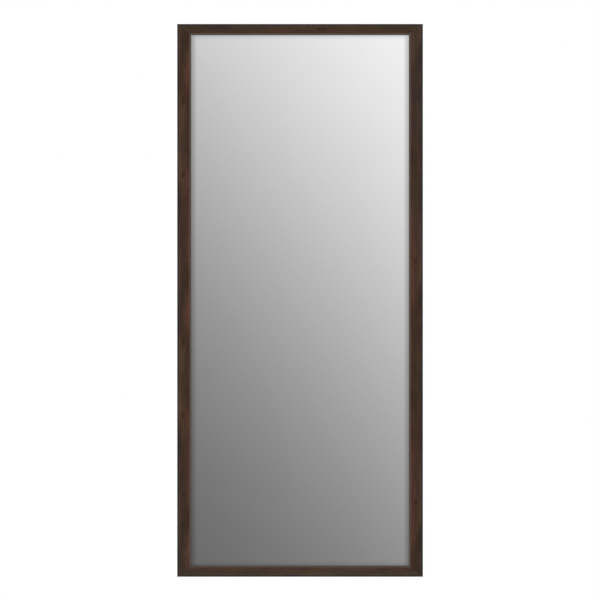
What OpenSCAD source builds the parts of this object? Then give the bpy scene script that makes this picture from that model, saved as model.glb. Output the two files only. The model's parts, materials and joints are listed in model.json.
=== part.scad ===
// Tall framed wall mirror: mitred moulding, bevelled mirror glass, hardboard back and strap hangers.
// Front view is along +Y, +Z is up. The origin is the middle of the wall plane, where the bumpers rest.

/* [Frame] */
// Width over the frame
frame_w = 800; // [600:5:1000]
// Height over the frame
frame_h = 1800; // [1200:5:2100]
// Thickness of the moulding, front to back
frame_t = 25; // [24:0.5:34]
// Face width of the two upright stiles
stile_w = 44.5; // [43:0.5:60]
// Face width of the top and bottom rails
rail_w = 34; // [32:0.5:40]

/* [Moulding] */
// Width of the rabbet behind a rail's lip
rabbet_w = 10; // [9:0.25:11.5]
// Thickness of the lip in front of the glass
lip_t = 7.5; // [6:0.25:9]
// Width of the sloping inner edge of a rail's lip
slope_w = 3.2; // [2:0.1:4]
// Depth of the sloping inner edge
slope_d = 3.6; // [2:0.1:4.5]
// Radius of a rail's rounded outer edge
edge_r = 3; // [1:0.25:5]
// Bevel on the outer edge of a rail's back
back_bevel = 1; // [0.5:0.25:2]

/* [Glass and back] */
// Thickness of the mirror glass
glass_t = 4; // [3:0.5:5]
// Width of the ground bevel along the edge of the glass
bevel_w = 30; // [20:1:40]
// Thickness that the bevel takes off at the edge of the glass
bevel_d = 1.5; // [1:0.1:2]
// Room between the edge of the glass and the rabbet
glass_gap = 2; // [1:0.25:3]
// How far the face of the glass lies behind the lip
glass_seat = 0.5; // [0.3:0.1:1]
// How far the foam cushion strips stay back from the inner edge of the lip
cushion_inset = 1.5; // [1:0.25:3]
// Length of a setting block under the glass
block_l = 30; // [20:1:60]
// Thickness of the hardboard back
board_t = 3; // [2.5:0.5:4]

/* [Retaining points] */
// Length of a retaining point
point_l = 15; // [13:0.5:18]
// Width of a retaining point
point_w = 6; // [5:0.5:9]
// Thickness of a retaining point
point_t = 0.6; // [0.4:0.1:1]
// Length of a retaining point inside the moulding
point_in = 6; // [5:0.5:8]
// Distance from one retaining point to the next
point_pitch = 150; // [100:5:200]

/* [Corner joints] */
// Length of a corner brace's leg, from the middle of the corner to its end
brace_l = 52; // [48:1:70]
// Width of a corner brace's leg
brace_w = 14; // [12:0.5:16]
// Thickness of a corner brace
brace_t = 2; // [2:0.1:2.5]
// Distance from the middle of the corner to a brace's first screw
brace_screw_first = 20; // [18:0.5:22]
// Distance from a brace's first screw to its second
brace_screw_pitch = 24; // [18:0.5:24]
// Length of a V nail's arm
nail_arm = 6; // [4:0.25:7]
// Thickness of a V nail
nail_t = 0.8; // [0.5:0.1:1.2]
// Depth of a V nail in the wood
nail_d = 10; // [7:0.5:12]

/* [Screws] */
// Diameter of a screw's shank
screw_d = 4; // [3:0.1:4.2]
// Length of a screw under its head
screw_l = 15; // [12:0.5:17]
// Diameter of a screw's head
head_d = 7.6; // [6.6:0.1:8]
// Height of a pan head
pan_h = 2.3; // [1.8:0.1:2.6]

/* [Hangers] */
// Distance from the top of the frame down to the pivot of the rings
hanger_drop = 250; // [180:5:500]
// Width of a hanger's strap
strap_w = 16; // [14:0.5:17]
// Thickness of the steel sheet of a strap, which is folded double
sheet_t = 1.2; // [0.8:0.1:1.3]
// Diameter of a ring's wire
wire_d = 4; // [3:0.1:4.2]
// Radius of the two small bends of a ring, to the middle of the wire
bend_r = 4; // [3.5:0.1:4.5]
// Length of the straight sides of a ring
ring_side = 4; // [3:0.25:8]
// Distance from a hanger's second screw to its third
strap_screw_pitch = 16; // [14:0.5:20]

/* [Wall bumpers] */
// Diameter of a rubber bumper where it sits on the frame
bumper_d = 18; // [14:0.5:22]
// Thickness of a bumper, which sets the frame off the wall
bumper_t = 8; // [7.5:0.25:12]
// Slope of a bumper's side: how much smaller its radius is at the wall
bumper_taper = 1; // [0:0.25:2]
// Distance from a brace's end to the edge of the bumper
bumper_space = 20; // [5:1:60]

/* [Clearances] */
// Radial clearance of a ring's wire in the strap
wire_fit = 0.05; // [0.02:0.01:0.1]
// Gap from a strap to the bends of its ring
side_play = 0.3; // [0.2:0.05:0.6]
// Gap from a ring at the end of its travel to what stops it
rest_gap = 0.25; // [0.2:0.05:0.4]
// Radial clearance of a screw in its hole
screw_fit = 0.1; // [0.05:0.05:0.2]
// Gap from the foam strips to the glass
cushion_fit = 0.1; // [0.05:0.05:0.3]

/* [Hidden] */
$fn = 64;
cut = 1;

// Feature widths of the stiles are those of the rails times this, so that every line meets on the mitre
mitre_ratio = stile_w / rail_w;
land_share = (rail_w - rabbet_w) / rail_w;
stile_land = stile_w * land_share;
rail_land = rail_w * land_share;

// Depths, from the wall plane at 0 to the front of the frame
back_y = -bumper_t;
front_y = back_y - frame_t;
lip_y = front_y + lip_t;
glass_y = lip_y + glass_seat;
board_y = glass_y + glass_t;
points_y = board_y + board_t;

// Glass, with the radius of the arc that its bevel follows
glass_w = frame_w - 2 * (stile_land + glass_gap);
glass_h = frame_h - 2 * (rail_land + glass_gap);
bevel_r = (pow(bevel_w, 2) + pow(bevel_d, 2)) / (2 * bevel_d);
stile_cover = stile_w - stile_land - glass_gap;
rail_cover = rail_w - rail_land - glass_gap;

// Retaining points
point_out = point_l - point_in;
point_tip = point_w / 2;
point_end_room = 60;

// Screws
screw_tip = 3;
recess_w = 1;
recess_l = 0.6 * head_d;
recess_d = 1.3;
sink_d = (head_d - screw_d) / 2;

// V nails, two on each mitre
nail_angle = 55;
mitre_angle = atan2(rail_w, stile_w);
mitre_l = norm([stile_land, rail_land]);
nail_places = [0.23 * mitre_l, 0.78 * mitre_l];

// Hangers
barrel_r = wire_d / 2 + wire_fit + sheet_t;
strap_t = 2 * sheet_t;
pivot_y = back_y + barrel_r;
pivot_z = frame_h / 2 - hanger_drop;
ring_half = strap_w / 2 + side_play;
loop_r = ring_half + bend_r;
ring_reach = bend_r + ring_side + loop_r;
ring_lean = asin((barrel_r - wire_d / 2 - rest_gap) / ring_reach);
strap_slope_end = 2.2 * barrel_r;
strap_screws = [
    strap_slope_end + head_d / 2,
    ring_reach + wire_d / 2 + rest_gap + 0.5 + head_d / 2,
    ring_reach + wire_d / 2 + rest_gap + 0.5 + head_d / 2 + strap_screw_pitch
];
strap_l = strap_screws[2] + strap_w / 2;

bumper_drop = rail_land / 2 + brace_l + bumper_space + bumper_d / 2;

corners = [["top_left", -1, 1], ["top_right", 1, 1], ["bottom_left", -1, -1], ["bottom_right", 1, -1]];
sides = [["left", -1], ["right", 1]];

// Placing

// Turns what was made for the right stile's side to another side: 0 right, 1 top, 2 left, 3 bottom
module on_side(turns) {
    rotate([0, -90 * turns, 0]) children();
}

// Turns what was made for the top right corner into the corner at signs sx and sz
module in_corner(sx, sz) {
    mirror([sx < 0 ? 1 : 0, 0, 0]) mirror([0, 0, sz < 0 ? 1 : 0]) children();
}

// Extrudes a drawing on X and Z from depth y over thickness t, away from the front
module plate(y, t) {
    translate([0, y + t, 0]) rotate([90, 0, 0]) linear_extrude(t) children();
}

// Points +Z of its child along +Y, from the depth y
module facing_wall(x, y, z) {
    translate([x, y, z]) rotate([-90, 0, 0]) children();
}

// Moulding

function quarter_points(rx, ry, steps) =
    [for (i = [0:steps]) [rx * (1 - sin(90 * i / steps)), ry * (1 - cos(90 * i / steps))]];

// Section of a member whose outer edge is at x = half and whose face is width wide
module moulding_section(half, width) {
    k = width / rail_w;
    land = width * land_share;
    outer_edge = [for (p = quarter_points(edge_r * k, edge_r, 8)) [half - p[0], front_y + p[1]]];
    polygon(concat(outer_edge, [
        [half, back_y - back_bevel],
        [half - back_bevel * k, back_y],
        [half - land, back_y],
        [half - land, lip_y],
        [half - width, lip_y],
        [half - width, front_y + slope_d],
        [half - width + slope_w * k, front_y]
    ]));
}

// Member along Z at the right, cut on the mitres at both ends, where it meets members other_w wide
module member(half, width, length, other_w) {
    rise = other_w / width;
    inner = half - width - cut;
    outer = half + cut;
    end_at = length / 2;
    intersection() {
        translate([0, 0, -end_at - 2 * cut * rise])
            linear_extrude(length + 4 * cut * rise) moulding_section(half, width);
        plate(front_y - cut, frame_t + 2 * cut) polygon([
            [outer, end_at + cut * rise],
            [inner, end_at - (width + cut) * rise],
            [inner, -end_at + (width + cut) * rise],
            [outer, -end_at - cut * rise]
        ]);
    }
}

function point_count(length) = floor((length - 2 * point_end_room) / point_pitch) + 1;

// Where the retaining points of a side that long lie along it
function point_places(length) =
    let (n = point_count(length)) [for (i = [0:n - 1]) (i - (n - 1) / 2) * point_pitch];

// Row of retaining points pushed into the rabbet wall at x = wall
module point_row(wall, length) {
    for (z = point_places(length))
        translate([wall, 0, z]) plate(points_y, point_t) polygon([
            [point_in, 0],
            [point_in - point_tip, point_w / 2],
            [-point_out, point_w / 2],
            [-point_out, -point_w / 2],
            [point_in - point_tip, -point_w / 2]
        ]);
}

// Screws

module driver_recess(top, depth) {
    for (a = [0, 90])
        rotate(a) translate([-recess_l / 2, -recess_w / 2, top - depth])
            cube([recess_l, recess_w, depth + cut]);
}

// Shank that points down from z = 0
module shank(length) {
    translate([0, 0, -length + screw_tip]) cylinder(d = screw_d, h = length - screw_tip);
    translate([0, 0, -length]) cylinder(d1 = 0.6, d2 = screw_d, h = screw_tip);
}

// Pan head screw, its head standing on z = 0
module pan_screw() {
    dome_r = (pow(head_d / 2, 2) + pow(pan_h, 2)) / (2 * pan_h) + 0.6;
    difference() {
        union() {
            rotate_extrude() intersection() {
                translate([0, pan_h - dome_r]) circle(dome_r, $fn = 96);
                square([head_d / 2, pan_h + cut]);
            }
            shank(screw_l);
        }
        driver_recess(pan_h, recess_d);
    }
}

// Countersunk screw, the top of its head level with z = 0
module sunk_screw() {
    difference() {
        union() {
            translate([0, 0, -sink_d]) cylinder(d1 = screw_d, d2 = head_d, h = sink_d);
            translate([0, 0, -sink_d]) shank(screw_l);
        }
        driver_recess(0, recess_d);
    }
}

// Hole in the wood for a screw whose shank starts at z = 0
module screw_hole(length) {
    translate([0, 0, -length - screw_fit]) cylinder(d = screw_d + 2 * screw_fit, h = length + 2 * cut);
}

// Corner joints, made for the top right corner

brace_x = frame_w / 2 - stile_land / 2;
brace_z = frame_h / 2 - rail_land / 2;
brace_holes = [for (d = [brace_screw_first, brace_screw_first + brace_screw_pitch], leg = [0, 1])
    leg == 0 ? [brace_x - d, brace_z] : [brace_x, brace_z - d]];

module brace_outline() {
    end = brace_l - brace_w / 2;
    translate([brace_x, brace_z]) {
        for (turn = [180, 270]) rotate(turn) {
            translate([0, -brace_w / 2]) square([end, brace_w]);
            translate([end, 0]) circle(d = brace_w);
        }
        circle(d = brace_w);
    }
}

module corner_brace() {
    difference() {
        plate(back_y, brace_t) brace_outline();
        for (h = brace_holes) facing_wall(h[0], back_y, h[1]) {
            translate([0, 0, -cut]) cylinder(d = screw_d + 2 * screw_fit, h = brace_t + 2 * cut);
            translate([0, 0, brace_t - sink_d])
                cylinder(d1 = screw_d + 2 * screw_fit, d2 = head_d + 2 * screw_fit, h = sink_d);
        }
    }
}

module brace_screws() {
    for (h = brace_holes) facing_wall(h[0], back_y + brace_t, h[1]) sunk_screw();
}

// V nails in the back of the mitre, their points towards the outer corner
module corner_nails() {
    plate(back_y - nail_d, nail_d)
        for (place = nail_places)
            translate([frame_w / 2, frame_h / 2]) rotate(180 + mitre_angle) translate([place, 0]) {
                for (s = [-1, 1]) rotate(s * nail_angle) translate([0, -nail_t / 2])
                    square([nail_arm, nail_t]);
                circle(d = nail_t, $fn = 8);
            }
}

module corner_cuts(sx, sz) {
    in_corner(sx, sz) {
        corner_nails();
        for (h = brace_holes) facing_wall(h[0], back_y, h[1]) screw_hole(screw_l + sink_d - brace_t);
    }
}

// Hangers, made for the right stile

module at_hanger() {
    translate([frame_w / 2 - stile_land / 2, pivot_y, pivot_z]) children();
}

module hanger_screw_holes() {
    for (d = strap_screws) translate([0, -barrel_r, -d]) rotate([-90, 0, 0]) screw_hole(screw_l - strap_t);
}

// Side view of the strap, with x along Z and y along Y: a folded sheet round the wire
module strap_section() {
    difference() {
        union() {
            circle(barrel_r);
            polygon([
                [0, 0],
                [-0.45 * barrel_r, 0.86 * barrel_r],
                [-strap_slope_end, strap_t - barrel_r],
                [-strap_l - cut, strap_t - barrel_r],
                [-strap_l - cut, -barrel_r],
                [0, -barrel_r]
            ]);
        }
        circle(wire_d / 2 + wire_fit);
    }
}

module strap_outline() {
    translate([-strap_w / 2, -strap_l + strap_w / 2]) square([strap_w, strap_l - strap_w / 2 + barrel_r]);
    translate([0, -strap_l + strap_w / 2]) circle(d = strap_w);
}

module hanger_strap() {
    at_hanger() difference() {
        intersection() {
            translate([-strap_w / 2 - cut, 0, 0]) rotate([90, 0, 90]) rotate(90) mirror([0, 1])
                linear_extrude(strap_w + 2 * cut) strap_section();
            plate(-barrel_r - cut, 2 * (barrel_r + cut)) strap_outline();
        }
        for (d = strap_screws) translate([0, -barrel_r - cut, -d]) rotate([-90, 0, 0])
            cylinder(d = screw_d + 2 * screw_fit, h = strap_t + 2 * cut);
    }
}

module hanger_ring() {
    at_hanger() rotate([ring_lean, 0, 0]) {
        translate([-ring_half, 0, 0]) rotate([0, 90, 0]) cylinder(d = wire_d, h = 2 * ring_half);
        for (s = [0, 1]) mirror([s, 0, 0]) {
            translate([ring_half, 0, bend_r]) rotate([90, 0, 0]) rotate(-90)
                rotate_extrude(angle = 90) translate([bend_r, 0]) circle(d = wire_d);
            translate([loop_r, 0, bend_r]) cylinder(d = wire_d, h = ring_side);
        }
        translate([0, 0, bend_r + ring_side]) rotate([90, 0, 0])
            rotate_extrude(angle = 180) translate([loop_r, 0]) circle(d = wire_d);
    }
}

module hanger_screws() {
    at_hanger() for (d = strap_screws) translate([0, strap_t - barrel_r, -d]) rotate([-90, 0, 0])
        pan_screw();
}

// Frame members

module stile(turns) {
    color([0.26, 0.2, 0.16]) difference() {
        on_side(turns) difference() {
            member(frame_w / 2, stile_w, frame_h, rail_w);
            point_row(frame_w / 2 - stile_land, glass_h);
        }
        for (sz = [-1, 1]) corner_cuts(1 - turns, sz);
        mirror([turns / 2, 0, 0]) at_hanger() hanger_screw_holes();
    }
}

module rail(turns) {
    color([0.26, 0.2, 0.16]) difference() {
        on_side(turns) difference() {
            member(frame_h / 2, rail_w, frame_w, stile_w);
            point_row(frame_h / 2 - rail_land, glass_w);
        }
        for (sx = [-1, 1]) corner_cuts(sx, 2 - turns);
    }
}

// Glass, back and what holds them

// Section of the glass across width w, its face at y = glass_y and its edges ground to the bevel's arc
module glass_section(w) {
    difference() {
        translate([-w / 2, glass_y]) square([w, glass_t]);
        for (s = [-1, 1]) difference() {
            translate([s * (w / 2 - bevel_w / 2 + cut / 2), glass_y + bevel_d / 2 - cut / 2])
                square([bevel_w + cut, bevel_d + cut], center = true);
            translate([s * (w / 2 - bevel_w), glass_y + bevel_r]) circle(bevel_r, $fn = 360);
        }
    }
}

module mirror_glass() {
    color([0.72, 0.74, 0.75]) intersection() {
        translate([0, 0, -glass_h / 2]) linear_extrude(glass_h) glass_section(glass_w);
        on_side(1) translate([0, 0, -glass_w / 2]) linear_extrude(glass_w) glass_section(glass_h);
    }
}

module backing_board() {
    color([0.5, 0.36, 0.22])
        translate([-glass_w / 2, board_y, -glass_h / 2]) cube([glass_w, board_t, glass_h]);
}

// How far the bevelled face of the glass lies behind its flat face, at distance d from the edge
function bevel_drop(d) = bevel_r - sqrt(pow(bevel_r, 2) - pow(max(0, bevel_w - d), 2));

// Foam strip between the lip and the glass, along a side of the given half size and cover
module cushion(half, width, cover, length) {
    inner = half - width + cushion_inset;
    outer = half - width + cover;
    translate([0, 0, -length / 2]) linear_extrude(length) polygon([
        [inner, lip_y],
        [outer, lip_y],
        [outer, glass_y + bevel_drop(0) - cushion_fit],
        [inner, glass_y + bevel_drop(cover - cushion_inset) - cushion_fit]
    ]);
}

module stile_cushion(turns) {
    color([0.12, 0.12, 0.12]) on_side(turns) cushion(frame_w / 2, stile_w, stile_cover, glass_h);
}

module rail_cushion(turns) {
    length = frame_w - 2 * (stile_w - cushion_inset + cushion_fit);
    color([0.12, 0.12, 0.12]) on_side(turns) cushion(frame_h / 2, rail_w, rail_cover, length);
}

module setting_block(s) {
    color([0.1, 0.1, 0.1])
        translate([s * glass_w / 4 - block_l / 2, glass_y + bevel_d, -glass_h / 2 - glass_gap])
            cube([block_l, glass_t - bevel_d, glass_gap]);
}

module stile_points(turns) {
    color([0.6, 0.6, 0.62]) on_side(turns) point_row(frame_w / 2 - stile_land, glass_h);
}

module rail_points(turns) {
    color([0.6, 0.6, 0.62]) on_side(turns) point_row(frame_h / 2 - rail_land, glass_w);
}

module wall_bumper() {
    facing_wall(frame_w / 2 - stile_land / 2, back_y, frame_h / 2 - bumper_drop)
        cylinder(d1 = bumper_d, d2 = bumper_d - 2 * bumper_taper, h = bumper_t);
}

stile(2);  // stile_left
stile(0);  // stile_right
rail(1);  // rail_top
rail(3);  // rail_bottom
mirror_glass();
backing_board();
stile_cushion(2);  // cushion_left
stile_cushion(0);  // cushion_right
rail_cushion(1);  // cushion_top
rail_cushion(3);  // cushion_bottom
stile_points(2);  // points_left
stile_points(0);  // points_right
rail_points(1);  // points_top
rail_points(3);  // points_bottom
for (s = sides) {
    flip = s[1] < 0 ? 1 : 0;
    setting_block(s[1]);
    color([0.8, 0.78, 0.72]) mirror([flip, 0, 0]) hanger_strap();
    color([0.78, 0.78, 0.78]) mirror([flip, 0, 0]) hanger_ring();
    color([0.72, 0.7, 0.62]) mirror([flip, 0, 0]) hanger_screws();
}
for (c = corners) {
    color([0.75, 0.74, 0.7]) in_corner(c[1], c[2]) corner_brace();
    color([0.72, 0.7, 0.62]) in_corner(c[1], c[2]) brace_screws();
    color([0.55, 0.55, 0.57]) in_corner(c[1], c[2]) corner_nails();
    color([0.09, 0.09, 0.09]) in_corner(c[1], c[2]) wall_bumper();
}
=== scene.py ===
# %% [markdown]
# # A tall wall mirror
# The construction comes packed from CAD: every piece at its real size, in metres, on the body it moves
# with. This script makes the finer surfaces that a camera sees, mixes their finishes and sets up the
# studio that the glass mirrors.

# %% The packed frame
import json
import math

import bmesh
import bpy
from mathutils import Matrix, Vector


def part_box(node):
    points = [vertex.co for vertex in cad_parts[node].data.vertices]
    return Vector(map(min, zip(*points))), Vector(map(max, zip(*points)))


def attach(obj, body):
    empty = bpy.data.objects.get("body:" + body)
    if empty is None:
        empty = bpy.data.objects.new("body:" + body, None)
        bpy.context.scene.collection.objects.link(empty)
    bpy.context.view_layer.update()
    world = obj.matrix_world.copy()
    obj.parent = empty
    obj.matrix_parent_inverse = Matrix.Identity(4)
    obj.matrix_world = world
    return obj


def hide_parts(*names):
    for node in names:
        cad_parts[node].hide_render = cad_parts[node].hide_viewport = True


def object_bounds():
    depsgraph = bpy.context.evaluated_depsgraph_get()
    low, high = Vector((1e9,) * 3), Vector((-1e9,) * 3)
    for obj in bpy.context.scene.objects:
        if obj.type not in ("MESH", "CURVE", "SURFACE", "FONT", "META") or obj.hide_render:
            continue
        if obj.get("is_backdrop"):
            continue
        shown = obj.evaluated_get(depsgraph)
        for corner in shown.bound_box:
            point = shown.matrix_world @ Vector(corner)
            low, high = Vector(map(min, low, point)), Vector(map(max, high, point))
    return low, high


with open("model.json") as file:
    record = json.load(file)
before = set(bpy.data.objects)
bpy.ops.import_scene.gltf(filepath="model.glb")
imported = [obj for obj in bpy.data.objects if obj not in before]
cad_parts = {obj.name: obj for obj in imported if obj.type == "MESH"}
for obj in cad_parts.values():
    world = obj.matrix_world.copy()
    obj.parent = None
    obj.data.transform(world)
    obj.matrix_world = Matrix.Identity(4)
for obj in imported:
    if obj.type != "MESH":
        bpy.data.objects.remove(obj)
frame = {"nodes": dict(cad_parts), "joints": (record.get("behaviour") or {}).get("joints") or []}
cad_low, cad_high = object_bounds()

MM = 0.001

# %% [markdown] ## Sizes A finer mesh fits only if it starts from the piece it dresses. The few that a box
# can't show are named where they are first needed.

# %% Sizes
half_w, half_h = cad_high.x, cad_high.z
front_y, back_y = cad_low.y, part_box("stile_right")[1].y
stile_in, rail_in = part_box("stile_right")[0].x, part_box("rail_top")[0].z
stile_w, rail_w = half_w - stile_in, half_h - rail_in
print(f"stiles {stile_w / MM:.1f} mm and rails {rail_w / MM:.1f} mm wide")

# %% [markdown]
# ## Wiring nodes
# A material or a Geometry Nodes tree is a drawing of boxes and links. It could be drawn by hand in
# Blender's editor, but code can be read and run again. This class keeps it short: each call adds a node,
# links or sets its inputs, and hands back an output to go on with.

# %% Wiring


class Wiring:
    """Short ways to add nodes to a tree. Each returns an output socket."""

    def __init__(self, tree):
        self.tree = tree

    def add(self, kind, inputs=None, output=0, **settings):
        """A node with its settings. Its inputs go by number or name."""
        made = self.tree.nodes.new(kind)
        for name, value in settings.items():
            setattr(made, name, value)
        for key, value in (inputs or {}).items():
            self.feed(made.inputs[key], value)
        return made.outputs[output]

    def feed(self, socket, value):
        """Links an output, or several into a socket that joins them, or sets a plain value."""
        for given in value if isinstance(value, list) else [value]:
            if isinstance(given, bpy.types.NodeSocket):
                self.tree.links.new(given, socket)
            else:
                socket.default_value = given

    def end(self, kind, value):
        """Adds the node that closes a tree, and feeds it."""
        self.feed(self.tree.nodes.new(kind).inputs[0], value)

    def maths(self, operation, a, b=0.0):
        return self.add("ShaderNodeMath", {0: a, 1: b}, operation=operation)

    def plus(self, a, b):
        return self.maths("ADD", a, b)

    def minus(self, a, b):
        return self.maths("SUBTRACT", a, b)

    def times(self, a, b):
        return self.maths("MULTIPLY", a, b)

    def vector(self, operation, a, b=(0.0, 0.0, 0.0), c=(0.0, 0.0, 0.0)):
        output = "Value" if operation in ("LENGTH", "DOT_PRODUCT") else 0
        return self.add("ShaderNodeVectorMath", {0: a, 1: b, 2: c}, output, operation=operation)

    def scaled(self, vector, factor):
        return self.add("ShaderNodeVectorMath", {0: vector, "Scale": factor}, operation="SCALE")

    def split(self, vector):
        return self.add("ShaderNodeSeparateXYZ", {0: vector}).node.outputs

    def join(self, x, y, z):
        return self.add("ShaderNodeCombineXYZ", {0: x, 1: y, 2: z})

    def ramp(self, value, start, end, low=0.0, high=1.0, shape="SMOOTHSTEP"):
        """Goes from low to high while value goes from start to end."""
        ends = {"Value": value, "From Min": start, "From Max": end, "To Min": low, "To Max": high}
        return self.add("ShaderNodeMapRange", ends, interpolation_type=shape)

    def mix(self, share, a, b, blend="MIX"):
        """A colour that goes from a to b as share goes from 0 to 1."""
        return self.add("ShaderNodeMix", {0: share, 6: a, 7: b}, 2, data_type="RGBA", blend_type=blend)


print("ways to wire:", *(way for way in vars(Wiring) if not way.startswith("_")))

# %% [markdown]
# ## Finishes
# Each finish is a Principled shader with a pattern wired into it. An image would need unwrapping and show
# its pixels close by. A rule on Object coordinates doesn't: every piece sits at the origin with its place
# in its mesh, so they are real metres in the mirror's own frame. Most colours are written as the 0 to 255
# values seen on screen and turned to linear light.

# %% Finish


def seen(*colour):
    """The linear colour of a surface that looks like these 0 to 255 values under full light."""
    def linear(value):
        s = value / 255
        return s / 12.92 if s <= 0.04045 else ((s + 0.055) / 1.055) ** 2.4
    return *(linear(value) for value in colour), 1.0


class Finish(Wiring):
    """A material, with its Principled shader and the mirror's own coordinates at hand."""

    def __init__(self, name, metallic=0.0, specular=0.5):
        self.material = bpy.data.materials.new(name)
        self.material.use_nodes = True
        super().__init__(self.material.node_tree)
        self.shader = self.tree.nodes["Principled BSDF"]
        self.set("Metallic", metallic)
        self.set("Specular IOR Level", specular)
        self.at = self.add("ShaderNodeTexCoord", output="Object")

    def set(self, socket, value):
        self.feed(self.shader.inputs[socket], value)

    def stretched(self, pitch, degrees=0.0):
        """Coordinates turned about Y, then divided by a pitch in metres, for all axes or one each."""
        turn = (0.0, math.radians(degrees), 0.0)
        turned = self.add("ShaderNodeMapping", {"Vector": self.at, "Rotation": turn})
        return self.vector("DIVIDE", turned, pitch if isinstance(pitch, tuple) else (pitch,) * 3)

    def noise(self, at, detail=2.0, roughness=0.5, w=None):
        """Soft noise from 0 to 1 whose blotches are about one unit of its coordinates wide."""
        inputs = {"Vector": at, "Scale": 1.0, "Detail": detail, "Roughness": roughness}
        if w is not None:
            inputs["W"] = w
        return self.add("ShaderNodeTexNoise", inputs, noise_dimensions="3D" if w is None else "4D")

    def done(self, colour, roughness, height=0.0, depth=0.0):
        """The material, its surface raised by depth, in metres, where height goes from 0 to 1."""
        self.set("Base Color", colour)
        self.set("Roughness", roughness)
        if depth:
            bump = {"Height": height, "Strength": 1.0, "Distance": depth}
            self.set("Normal", self.add("ShaderNodeBump", bump))
        return self.material


print(f"half grey on screen, 128, is {seen(128)[0]:.3f} in linear light")

# %% [markdown]
# ## Printed foil
# The moulding is a board core wrapped in a printed foil, whose roll repeats every 785 mm, so the same
# knots come back along a stile. An image could simply be tiled. A noise repeats if its coordinate walks
# round a circle of that girth instead of straight along the member, which takes one dimension more, so it
# is 4D. One foil serves two members, so each setting of its looks is a pair: left and right stile, or
# bottom and top rail.

# %% The roll
foil_repeat = 785 * MM
roll_r = foil_repeat / (2 * math.pi)


class PrintedFoil(Finish):
    """The foil of two members that run along X or Z, their inner edges that far from the middle."""

    def __init__(self, name, along, inner, looks):
        super().__init__(name, specular=0.3)
        x, self.y, z = self.split(self.at)
        self.along, self.looks = along, looks
        self.run, self.across = (z, x) if along == "Z" else (x, z)
        self.from_middle = self.maths("ABSOLUTE", self.across)
        self.on_second = self.ramp(self.across, -inner, inner)
        turn = self.times(self.run, 1 / roll_r)
        self.round_x = self.times(self.maths("COSINE", turn), roll_r)
        self.round_y = self.times(self.maths("SINE", turn), roll_r)
        self.bent = self.across

    def laid(self, across, depth, run):
        """A vector, from its parts on the member."""
        return (across, depth, run) if self.along == "Z" else (run, depth, across)

    def own(self, setting):
        """A number of the looks, as each of the two members has it."""
        return self.ramp(self.on_second, 0.0, 1.0, *self.looks[setting], "LINEAR")

    def with_grain(self, width, length, start, run):
        """Coordinates for blotches that long and wide on the bent grain, from a start of their own."""
        across = self.plus(self.times(self.bent, 1 / width), start)
        return self.join(across, self.times(self.y, 1 / width), self.times(run, 1 / length))

    def streaks(self, width, length, detail, start):
        """Noise along the grain that repeats with the roll."""
        at = self.with_grain(width, length, start, self.round_x)
        return self.noise(at, detail, w=self.times(self.round_y, 1 / length))


print(f"foil repeats every {foil_repeat / MM:.0f} mm, on a roll {2 * roll_r / MM:.0f} mm across")

# %% [markdown]
# ## Knots
# A knot is a branch sawn across. A Voronoi pattern would scatter knots by chance, but these have known
# places and sizes, so each is an ellipse wrapped over the repeat. The distance from its middle darkens
# the knot, draws its rings and pale halo, and pushes aside the coordinate that crosses the grain, so that
# the grain bends round it.

# %% Knots
stile_knots = [  # place across, place along, half width, half length
    (-379 * MM, 651 * MM, 5.2 * MM, 15 * MM), (-380 * MM, 410 * MM, 5.5 * MM, 14 * MM),
    (377 * MM, 130 * MM, 5 * MM, 12 * MM),
]
rail_knots = [(883 * MM, 70 * MM, 3.5 * MM, 20 * MM)]
ring_pitch = 0.19


def knotted(foil, knots):
    """Bends a foil's grain round its knots. Returns where there is knot, halo and ring, from 0 to 1."""
    ragged = foil.minus(foil.noise(foil.stretched(4 * MM), detail=3.0), 0.5)
    repeat = foil.laid(1.0, 1.0, foil_repeat / 2)
    knot, halo, rings = 0.0, 0.0, 0.0
    for place_across, place_run, half_width, half_length in knots:
        off = foil.vector("SUBTRACT", foil.at, foil.laid(place_across, front_y, place_run))
        off = foil.vector("WRAP", off, repeat, tuple(-part for part in repeat))
        away = foil.vector("LENGTH", foil.vector("DIVIDE", off, foil.laid(half_width, 1.0, half_length)))

        # The grain gives way within 2.8 half widths of the knot, most near it
        push = foil.ramp(away, 0.3, 2.8, -0.7, 0.0)
        foil.bent = foil.plus(foil.bent, foil.times(foil.minus(foil.across, place_across), push))

        # A ragged distance draws the dark knot, the halo round it and rings that fade with the halo
        away = foil.plus(away, foil.times(ragged, 0.5))
        knot = foil.maths("MAXIMUM", knot, foil.ramp(away, 1.3, 0.55))
        near = foil.ramp(away, 2.6, 1.1)
        halo = foil.maths("MAXIMUM", halo, near)
        ring = foil.ramp(foil.maths("PINGPONG", away, ring_pitch), 0.03, 0.17)
        rings = foil.maths("MAXIMUM", rings, foil.times(ring, near))
    return knot, halo, rings


print(f"{len(stile_knots)} knots to a repeat on the stiles, {len(rail_knots)} on the rails")

# %% [markdown]
# ## Grain
# From coarse to fine the print holds clouds, growth lines that darken slowly and stop sharply, streaks,
# fine lines and pores. A Wave texture would draw the growth lines too evenly, so a slow noise spaces them
# and a fraction gives each its sharp edge. Every layer is a factor near 1 on the colour, so layers can be
# added or taken out.

# %% Grain
growth_w, growth_wander = 6.5 * MM, 7.0


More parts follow.
